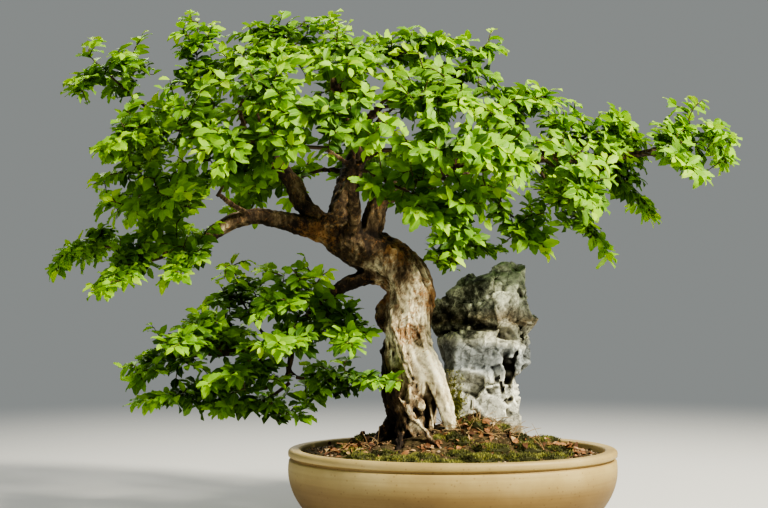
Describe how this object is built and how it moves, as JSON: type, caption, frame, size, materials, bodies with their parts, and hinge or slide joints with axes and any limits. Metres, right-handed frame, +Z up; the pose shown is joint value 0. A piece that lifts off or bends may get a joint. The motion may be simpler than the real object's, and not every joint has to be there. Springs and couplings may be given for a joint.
{
  "type": "chinese elm bonsai",
  "caption": "Chinese elm bonsai with a leaning, root-clasped trunk and a broad leafy crown, growing beside an upright stone in an oval stoneware pot.",
  "frame": {"origin": "centre of the pot's flat underside", "axes": "+Z up, +X to the right as seen from the front, +Y from the front to the back"},
  "size_m": [0.7388, 0.4132, 0.5709],
  "materials": {
    "stoneware": "satin",
    "mesh": "matte",
    "earth": "matte",
    "stone": "matte",
    "bark": "matte",
    "leaf": "satin"
  },
  "bodies": {
    "root": {"pot": "stoneware", "drain_screen_left": "mesh", "drain_screen_right": "mesh", "stone": "stone", "soil": "earth", "tree": "bark", "spray_crown_1": "leaf", "spray_crown_2": "leaf", "spray_crown_3": "leaf", "spray_crown_4": "leaf", "spray_crown_5": "leaf", "spray_crown_6": "leaf", "spray_crown_7": "leaf", "spray_high_1": "leaf", "spray_high_2": "leaf", "spray_high_3": "leaf", "spray_high_4": "leaf", "spray_high_5": "leaf", "spray_high_6": "leaf", "spray_high_7": "leaf", "spray_high_8": "leaf", "spray_left_1": "leaf", "spray_left_2": "leaf", "spray_left_3": "leaf", "spray_left_4": "leaf", "spray_left_5": "leaf", "spray_left_6": "leaf", "spray_left_7": "leaf", "spray_front_1": "leaf", "spray_front_2": "leaf", "spray_front_3": "leaf", "spray_front_4": "leaf", "spray_back_1": "leaf", "spray_back_2": "leaf", "spray_back_3": "leaf", "spray_right_1": "leaf", "spray_right_2": "leaf", "spray_right_3": "leaf", "spray_right_4": "leaf", "spray_right_5": "leaf", "spray_right_6": "leaf", "spray_right_7": "leaf", "spray_right_8": "leaf", "spray_right_9": "leaf", "spray_right_10": "leaf", "spray_right_11": "leaf", "spray_right_12": "leaf", "spray_right_13": "leaf", "spray_hanging_1": "leaf", "spray_lower_1": "leaf", "spray_lower_2": "leaf", "spray_lower_3": "leaf", "spray_lower_4": "leaf", "spray_lower_5": "leaf", "spray_lower_6": "leaf", "spray_lower_7": "leaf", "spray_lower_8": "leaf", "spray_drop_1": "leaf", "spray_drop_2": "leaf", "spray_drop_3": "leaf"}
  },
  "joints": []
}
